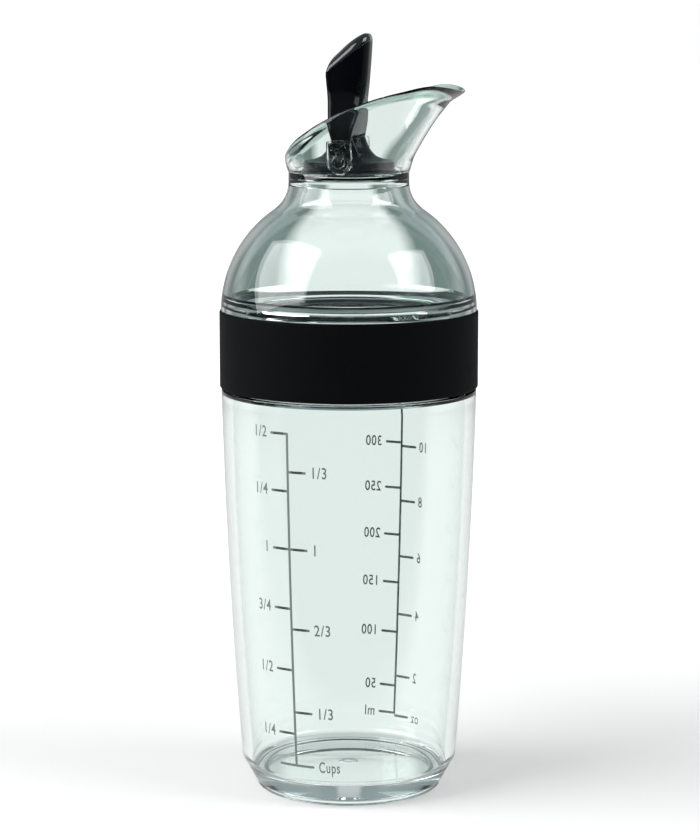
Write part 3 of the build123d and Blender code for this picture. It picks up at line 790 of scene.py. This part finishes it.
def hinge_pad(name, side):
    """A clear pad on the neck's inner wall, with a groove near its outline on the side that
    faces the lever's leg, carried from its face into the wall."""
    seat = pad_loop(0.0, 0.0)
    wall = smooth_curve(seat[:, 2], (182.0, 184.0, 186.7, 190.5, 193.0),
                        (16.3, 16.6, 17.4, 17.8, 17.9))
    seat[:, 1] = side * np.sqrt(np.maximum(wall ** 2 - seat[:, 0] ** 2, 1))
    rows = [pad_loop(inset, side * (PAD_FACE_Y + depth))
            for inset, depth in ((0.95, 0.0), (0.8, 0.0), (0.62, 0.5), (0.5, 0.5), (0.12, 0.0),
                                 (0.0, 0.2))]
    return grid_object(name, np.stack([*rows, seat]), loop_u=False, caps=True)


class SHAKER_OT_lid(bpy.types.Operator):
    """Builds the clear lid: dome, neck, spout, hinge pads, studs and inner thread"""
    bl_idname = "shaker.lid"
    bl_label = "Lid"

    def execute(self, context):
        clear = clear_material("clear_copolyester_lid", lip=True)
        shell = grid_object("lid_shell", lid_grid(), sharp=40)
        for side, word in SIDES:
            combine(shell, hinge_pad("hinge_pad_" + word, side), "UNION")
            combine(shell, hinge_rod("hinge_stud_" + word, STUD, side), "UNION")
            combine(shell, hinge_rod("dish_" + word, DISH, side))
        dress(shell, clear, "lid", "clear_lid", "lid_dome")
        ridge = helix_ridge("lid_thread", 34.9, 34.6 - sizes().thread_depth / MM, *LID_THREAD)
        dress(ridge, clear, "lid", "clear_lid")
        return {"FINISHED"}


# Band, gasket and seal

class SHAKER_OT_band(bpy.types.Operator):
    """Builds the soft grip band round the lid's skirt"""
    bl_idname = "shaker.band"
    bl_label = "Grip band"

    def execute(self, context):
        r = sizes().band_radius / MM
        outline = rounded([(36.73, 119.8, 0.1), (r, 119.8, 0.6), (r, 142.4, 0.5),
                           (36.73, 142.4, 0.1)], 7)
        body = np.linspace(120.4, 141.9, 24)[:, None]
        outline = np.concatenate([outline[:14], np.hstack([np.full_like(body, r), body]),
                                  outline[14:]])
        band = soft_material("soft_touch_black", colours().band, 0.6, 0.0, 1600, 0.04)
        dress(turned("soft_band", outline), band, "lid", "soft_black", "grip_band")
        return {"FINISHED"}


class SHAKER_OT_seals(bpy.types.Operator):
    """Builds the container's gasket and the stopper's seal ring"""
    bl_idname = "shaker.seals"
    bl_label = "Seals"

    def execute(self, context):
        gasket = rounded([(31.3, 141.0, 0.2), (32.1, 141.0, 0.1), (32.8, 140.6, 0.6),
                          (33.5, 141.0, 0.1), (34.3, 141.0, 0.2), (34.3, 142.15, 0.2),
                          (31.3, 142.15, 0.2)], 5)
        milky = soft_material("gasket_silicone", (0.55, 0.6, 0.6), 0.3, 0.05, 1500, clear=0.97)
        dress(turned("mouth_gasket", gasket), milky, "gasket", "gasket_silicone",
              "container_gasket")
        seal = rounded([(11.63, 181.53, 0.1), (13.9, 181.53, 0.75), (13.9, 183.37, 0.75),
                        (11.63, 183.37, 0.1)], 7)
        grey = soft_material("seal_silicone", colours().seal, 0.38, 0.1, 1500)
        dress(turned("stopper_ring", seal), grey, "plug", "seal_grey", "stopper_seal")
        return {"FINISHED"}


# Stopper

def stopper_grid():
    """The stopper's profile turned about the axis, its flange cut back to two flats that clear
    the lever's legs: inside a small angle either side of Y the radius stops at a constant Y."""
    flat_y, flat_half, flange_z, nudge = 11.3, 3.1, 183.45, 2e-4
    flare_z = np.linspace(186.15, 192.2, 22)
    flare = smooth_curve(flare_z, (186.05, 186.5, 187.1, 188.4, 189.6, 190.9, 192.2),
                         (12.0, 10.2, 8.6, 7.0, 6.05, 5.3, 4.9))
    profile = np.concatenate([
        [(0, 182.3), (8.3, 182.3), (8.6, 182.2), (9.4, 180.8), (9.6, 180.7), (12.6, 180.7),
         (12.85, 180.8), (12.9, 181.0), (12.9, 181.45), (12.8, 181.5), (11.6, 181.5),
         (11.6, 183.4), (13.2, 183.4), (13.35, 183.5), (13.35, 185.2), (13.28, 185.6),
         (13.05, 185.9), (12.7, 186.03), (12.3, 186.05)],
        np.stack([flare, flare_z], 1),
        [(4.8, 192.7), (4.4, 193.1), (3.8, 193.2), (0, 193.2)]])
    cut = np.arctan2(flat_half, flat_y)
    edges = np.array([pi / 2 - cut, pi / 2 + cut, 1.5 * pi - cut, 1.5 * pi + cut])
    turn = np.sort(np.concatenate([full_turn(180), edges - nudge, edges + nudge]))[:, None]
    from_y = np.abs(np.abs(turn - pi) - pi / 2)
    limit = np.where(from_y < cut, flat_y / np.maximum(np.abs(np.sin(turn)), 1e-6), 99.0)
    r = np.where(profile[:, 1] > flange_z, np.minimum(profile[:, 0], limit), profile[:, 0])
    return about_axis(r, turn, profile[:, 1])


class SHAKER_OT_stopper(bpy.types.Operator):
    """Builds the black stopper with its trumpet stem and link slot"""
    bl_idname = "shaker.stopper"
    bl_label = "Stopper"

    def execute(self, context):
        stopper = grid_object("stopper_spool", stopper_grid(), loop_v=False, sharp=30)
        turn = full_turn(48)
        along = SLOT_R * np.cos(turn) + SLOT_STRETCH * np.sign(np.cos(turn))
        slot = np.stack([LINK_X + SLOT_AHEAD + along, LINK_Z + SLOT_R * np.sin(turn)], 1)
        combine(stopper, slab_along_y("slot", slot, -20, 20))
        dress(stopper, gloss_material("stopper_gloss", 0.2), "plug", "stopper_black", "stopper")
        return {"FINISHED"}


# Lever

def lever_loops(z):
    """Rounded trapezoid sections of the lever at heights z, as (heights, points, xy): four corner
    arcs joined by straight runs. Below the hinge's axis the section sinks to a rounded foot."""
    z = np.asarray(z, float)[:, None]
    level = np.maximum(z, PIVOT_Z)
    sink = np.sqrt(np.maximum(1 - ((PIVOT_Z - np.minimum(z, PIVOT_Z)) / LEG_R) ** 2, 0))
    heights, *columns = zip(*LEVER)
    back, front, half_back, half_front, r_back, r_front = [
        smooth_curve(level, heights, column) for column in columns]
    back, front, r_back, r_front = back * sink, front * sink, r_back * sink, r_front * sink
    depth = np.maximum(front - back, 1e-3)
    slope = np.arctan2(half_back - half_front, depth)
    side = (half_back - half_front) / depth
    front_x, back_x = front - r_front, back + r_back
    front_y = half_front + side * r_front - r_front / np.cos(slope)
    back_y = half_back - side * r_back - r_back / np.cos(slope)
    step = np.linspace(0, 1, 18)[None, :]
    lean = pi / 2 - slope
    first, second = lean * step, lean + (pi - lean) * step
    x = np.concatenate([front_x + r_front * np.cos(first), back_x + r_back * np.cos(second)], 1)
    y = np.concatenate([front_y + r_front * np.sin(first), back_y + r_back * np.sin(second)], 1)
    return np.stack([np.concatenate([x, x[:, ::-1]], 1), np.concatenate([y, -y[:, ::-1]], 1)], -1)


def cap_line(x):
    """Height of the slanted parting plane over x."""
    rise = (CAP_FRONT[1] - CAP_BACK[1]) / (CAP_FRONT[0] - CAP_BACK[0])
    return CAP_BACK[1] + (x - CAP_BACK[0]) * rise


def parting_loop(lowered=0.0):
    """The lever's section where it meets the parting plane, found between stepped heights."""
    heights = np.linspace(205, 226, 240)
    loops = lever_loops(heights)
    gap = heights[:, None] - (cap_line(loops[..., 0]) - lowered)
    k = np.argmax(gap > 0, axis=0)
    column = np.arange(loops.shape[1])
    t = (-gap[k - 1, column] / (gap[k, column] - gap[k - 1, column]))[:, None]
    xy = loops[k - 1, column] * (1 - t) + loops[k, column] * t
    z = heights[k - 1][:, None] * (1 - t) + heights[k][:, None] * t
    return np.concatenate([xy, z], 1)


def lever_grid():
    """Rows of the lever from the rounded feet of its legs to the slanted parting plane."""
    level_top, under_cap, tenon, tenon_share = 205.0, 0.35, 0.08, 0.965
    low = PIVOT_Z - LEG_R * np.cos(np.linspace(0.12, pi / 2, 12))
    z = np.concatenate([low, [187.5, 189.0], np.linspace(190.5, level_top, 44)])
    loops = lever_loops(z)
    rows = np.concatenate([loops, np.broadcast_to(z[:, None, None], (*loops.shape[:2], 1))], -1)
    share = np.linspace(0, 1, 22)[1:, None]
    heights = level_top + (parting_loop(under_cap)[:, 2] - level_top) * share
    slanted = np.stack([lever_loops(heights[:, k])[:, k] for k in range(heights.shape[1])], 1)
    upper = np.concatenate([slanted, heights[..., None]], -1)
    crown = parting_loop(tenon)
    middle = crown.mean(0)
    return np.concatenate([rows, upper, (middle + (crown - middle) * tenon_share)[None]])


def cap_grid():
    """The cap: rows of the parting outline drawn in towards its middle, each raised off the plane
    by ridge(a) * (1 - drawn ** p) ** 0.5, where a runs from -1 to 1 forwards, the ridge is an
    ellipse and p grows from the sides to the ends. Towards the front the rise leans upright."""
    ridge_high, ridge_at, ridge_half, ridge_sunk, ridge_full = 6.72, 2.07, 10.6, 2.85, 3.85
    outline = parting_loop()
    middle = outline.mean(0)
    slope = np.array([CAP_FRONT[0] - CAP_BACK[0], 0, CAP_FRONT[1] - CAP_BACK[1]])
    half = np.linalg.norm(slope) / 2
    slope = slope / np.linalg.norm(slope)
    up = np.array([-slope[2], 0, slope[0]])
    drawn = np.sin(np.linspace(0, pi / 2, 34))[:, None]
    ahead = ((outline - middle) @ slope / half)[None, :]
    place = ahead * drawn * half
    arch = np.sqrt(np.maximum(1 - ((place - ridge_at) / ridge_half) ** 2, 0))
    ridge = np.maximum(ridge_high * arch - ridge_sunk, 0.25) / ridge_full
    power = 2.4 + 4.6 * ahead ** 2
    side = np.sqrt(1 - np.minimum(drawn, 0.99999) ** power)
    rise = ridge * sizes().cap_height / MM * side
    lean = slope[2] / slope[0] * np.clip((place / half - 0.1) / 0.7, 0, 1)
    flat = middle + (outline - middle)[None] * drawn[..., None]
    top = flat + up * rise[..., None] + slope * (rise * lean)[..., None]
    edge = (middle + (outline - middle) * 0.985 - up * 0.12)[None]
    return np.concatenate([top, edge])


def eye_outline():
    """Outline of a link eye: half circles round its root and round the pin, joined straight."""
    lean = np.degrees(np.arctan2(EYE_ROOT[1] - LINK_Z, EYE_ROOT[0] - LINK_X))
    return np.concatenate([arc_points(EYE_ROOT, EYE_ROOT_R, lean - 90, lean + 90, 20),
                           arc_points((LINK_X, LINK_Z), EYE_LINK_R, lean + 90, lean + 270, 20)])


class SHAKER_OT_lever(bpy.types.Operator):
    """Builds the black lever, its cap, its link eyes and the steel pin's finish"""
    bl_idname = "shaker.lever"
    bl_label = "Lever"

    def execute(self, context):
        gloss = gloss_material("lever_gloss", 0.12)
        polished = gloss_material("cap_gloss", 0.06, 0.85)
        lever = grid_object("lever_handle", lever_grid(), loop_u=False, caps=True, sharp=40)
        notch = np.concatenate([arc_points((0, PIVOT_Z), ARCH_R, 0, 180, 60),
                                [(-ARCH_R, 178.0), (ARCH_R, 178.0)]])
        combine(lever, slab_along_y("notch", notch, -LEG_IN_Y, LEG_IN_Y))
        combine(lever, hinge_rod("hole", ((0, -20), (HOLE_R, -20), (HOLE_R, 20), (0, 20))))
        dress(lever, gloss, "lever", "lever_black", "lever_body")
        for side, word in SIDES:
            low, high = sorted((side * EYE_IN_Y, side * EYE_OUT_Y))
            eye = slab_along_y("link_eye_" + word, eye_outline(), low, high, 0.15)
            dress(eye, gloss, "lever", "lever_black")
        for side, word in SIDES:
            ring = hinge_rod("hinge_ring_" + word, RING, side)
            dress(ring, polished, "lever", "lever_black")
        cap = grid_object("lever_cap_dome", cap_grid(), loop_u=False, caps=True, sharp=60)
        dress(cap, polished, "lever", "cap_black", "lever_cap")
        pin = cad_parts["link_pin"]
        pin.data.materials.clear()
        pin.data.materials.append(steel_material("turned_steel"))
        return {"FINISHED"}


# Stage

def stage_floor():
    """A wide pale floor, drawn as rings that lie closer together near the shaker."""
    rings, columns, drop = 61, 96, 0.02
    r = np.concatenate([[0.0], np.geomspace(20, 12000, rings - 1)])[:, None]
    grid = about_axis(r, full_turn(columns), -drop)
    return mesh_object("stage_floor", grid.reshape(-1, 3), grid_faces(rings, columns, loop_v=True),
                       closed=False)


def flag_group():
    """Node group: the level of the studio in a direction, white in the middle of the backdrop and
    dark where a black flag stands at either side of it."""
    if "side_flags" in bpy.data.node_groups:
        return bpy.data.node_groups["side_flags"]
    group, inputs, outputs = new_group("side_flags", {"Towards": (0.0, 0.0, 0.0)},
                                       {"Level": "Color"})
    straight = node(group, "VectorMath", {0: inputs["Towards"]}, operation="NORMALIZE")
    aside = node(group, "VectorMath", {0: straight.outputs["Vector"], 1: FLAG_AXIS},
                 operation="DOT_PRODUCT")
    away = math_node(group, "ABSOLUTE", aside.outputs["Value"])
    feed(group, outputs["Level"], ramp_node(group, away, *FLAG_LEVELS))
    return group


def floor_material():
    """Pale paper. The camera sees it lifted to white away from the shaker, where the lamps fall
    off. Reflections find it dark on the camera's side, as beyond a table's edge. Rays that come
    through the clear walls find it white far behind, between the flags, and a little darker
    round the foot, a painted contact shadow."""
    material, tree, shader = new_material("pale_paper", {"Roughness": 0.9,
                                                         "Specular IOR Level": 0.1})
    place = node(tree, "TexCoord").outputs["Object"]
    depth = node(tree, "SeparateXYZ", {"Vector": place}).outputs["Y"]
    path = node(tree, "LightPath").outputs
    plain_ray = math_node(tree, "MAXIMUM", path["Is Camera Ray"], path["Is Diffuse Ray"])
    near = math_node(tree, "MULTIPLY_ADD", depth, 5.0, 0.8)
    front = ramp_node(tree, near, (0.2, DIM_FRONT), (0.6, PAPER))
    feed(tree, shader.inputs["Base Color"], mix_node(tree, "MIX", plain_ray, front, PAPER))
    far = node(tree, "VectorMath", {0: place}, operation="LENGTH").outputs["Value"]
    lift = ramp_node(tree, far, (0.12, 0.1), (0.45, 0.45), (1.0, 0.85))
    glow = node(tree, "Emission", {"Color": lift, "Strength": path["Is Camera Ray"]})
    both = node(tree, "AddShader", {0: shader.outputs["BSDF"], 1: glow.outputs["Emission"]})
    flags = node(tree, "Group", {"Towards": place}, node_tree=flag_group())
    far_side = ramp_node(tree, far, (0.75, 0.0), (0.98, 1.0))
    behind = ramp_node(tree, near, (0.2, DIM_FRONT), (0.6, 1.0))
    # Painted contact shadow: a darker ring on the floor round the foot, for rays through the walls.
    painted_foot_shadow = ramp_node(tree, far, (0.020, 1.0), (0.026, 0.75), (0.031, 0.75), (0.042, 1.0))
    flagged = mix_node(tree, "MULTIPLY", far_side, behind, flags.outputs["Level"])
    shaded = mix_node(tree, "MULTIPLY", 1.0, flagged, painted_foot_shadow)
    through = node(tree, "Emission", {"Color": shaded})
    swap = node(tree, "MixShader", {0: path["Is Transmission Ray"], 1: both.outputs["Shader"],
                                    2: through.outputs["Emission"]})
    feed(tree, tree.nodes["Material Output"].inputs["Surface"], swap.outputs["Shader"])
    return material


def stage_world():
    """A studio that is white behind the shaker and dark on the camera's side and overhead. The
    camera sees it white everywhere, and diffuse surfaces get even light from all round."""
    world = bpy.data.worlds.new("studio")
    bpy.context.scene.world = world
    world.use_nodes = True
    tree = world.node_tree
    tree.nodes.clear()
    place = node(tree, "TexCoord").outputs["Generated"]
    split = node(tree, "SeparateXYZ", {"Vector": place}).outputs
    path = node(tree, "LightPath").outputs
    share = math_node(tree, "MULTIPLY_ADD", split["Y"], 0.5, 0.5)
    ramp = ramp_node(tree, share, (0.40, DIM_FRONT), (0.5, DIM_SIDES), (0.64, 1.0))
    flags = node(tree, "Group", {"Towards": place}, node_tree=flag_group())
    seen = mix_node(tree, "MULTIPLY", 1.0, ramp, flags.outputs["Level"])
    ceiling = ramp_node(tree, split["Z"], (0.2, 0.0), (0.36, 1.0))
    seen = mix_node(tree, "MIX", ceiling, seen, DIM_OVERHEAD)
    for kind, level in (("Is Camera Ray", 1.0), ("Is Diffuse Ray", 0.35)):
        seen = mix_node(tree, "MIX", path[kind], seen, level)
    back = node(tree, "Background", {"Color": seen})
    node(tree, "OutputWorld", {"Surface": back.outputs["Background"]})


def softbox(name, towards, across, width, height, power):
    """A rectangular lamp in one direction from the shaker's middle, its long side turned as near
    as can be to the direction across."""
    lamp = bpy.data.lights.new(name, "AREA")
    lamp.shape = "RECTANGLE"
    lamp.size, lamp.size_y, lamp.energy = width, height, power
    away = Vector(towards).normalized()
    side = (Vector(across) - away * away.dot(Vector(across))).normalized()
    turn = Matrix((side, away.cross(side), away)).transposed().to_4x4()
    at = Vector(SHAKER_MIDDLE) + away * SOFTBOX_REACH
    linked(name, lamp).matrix_world = Matrix.Translation(at) @ turn


def photo_camera():
    """The camera of the photograph, aimed past the axis by a small step to the right."""
    camera = bpy.data.cameras.new("photo_camera")
    camera.sensor_fit = "HORIZONTAL"
    camera.sensor_width = 36
    camera.lens = CAMERA_LENS
    camera.clip_start, camera.clip_end = 0.01, 50
    holder = linked("photo_camera", camera)
    holder.location = CAMERA_AT
    reach = Vector(CAMERA_AT[:2]).length
    flat = Vector((-CAMERA_AT[0], -CAMERA_AT[1], 0)).normalized()
    aim = flat * reach + Vector((flat.y, -flat.x, 0)) * CAMERA_AIM_RIGHT
    aim.z = -reach * tan(radians(CAMERA_PITCH))
    holder.rotation_euler = aim.to_track_quat("-Z", "Y").to_euler()
    bpy.context.scene.camera = holder


class SHAKER_OT_stage(bpy.types.Operator):
    """Sets up the pale floor, the surround, the softboxes and the camera"""
    bl_idname = "shaker.stage"
    bl_label = "Stage"

    def execute(self, context):
        floor = stage_floor()
        floor.data.materials.append(floor_material())
        stage_world()
        for row in SOFTBOXES:
            softbox(*row)
        photo_camera()
        bpy.context.scene.view_settings.view_transform = "Standard"
        return {"FINISHED"}


class SHAKER_PT_panel(bpy.types.Panel):
    """Sidebar panel with the shaker's sizes, colours and operators"""
    bl_idname = "SHAKER_PT_panel"
    bl_label = "Dressing Shaker"
    bl_space_type = "VIEW_3D"
    bl_region_type = "UI"
    bl_category = "Shaker"

    def draw(self, context):
        for settings in (context.scene.shaker_sizes, context.scene.shaker_colours):
            for name in settings.__annotations__:
                self.layout.prop(settings, name)
        for operator in OPERATORS:
            self.layout.operator(operator.bl_idname)


OPERATORS = (SHAKER_OT_stage, SHAKER_OT_container, SHAKER_OT_scales, SHAKER_OT_lid,
             SHAKER_OT_band, SHAKER_OT_seals, SHAKER_OT_stopper, SHAKER_OT_lever)
CLASSES = (ShakerSizes, ShakerColours, *OPERATORS, SHAKER_PT_panel)


def register():
    for entry in CLASSES:
        bpy.utils.register_class(entry)
    bpy.types.Scene.shaker_sizes = PointerProperty(type=ShakerSizes)
    bpy.types.Scene.shaker_colours = PointerProperty(type=ShakerColours)


def unregister():
    del bpy.types.Scene.shaker_colours
    del bpy.types.Scene.shaker_sizes
    for entry in reversed(CLASSES):
        bpy.utils.unregister_class(entry)


def main():
    register()
    bpy.ops.shaker.stage()
    bpy.ops.shaker.container()
    bpy.ops.shaker.scales()
    bpy.ops.shaker.lid()
    bpy.ops.shaker.band()
    bpy.ops.shaker.seals()
    bpy.ops.shaker.stopper()
    bpy.ops.shaker.lever()


if __name__ == "__main__":
    main()
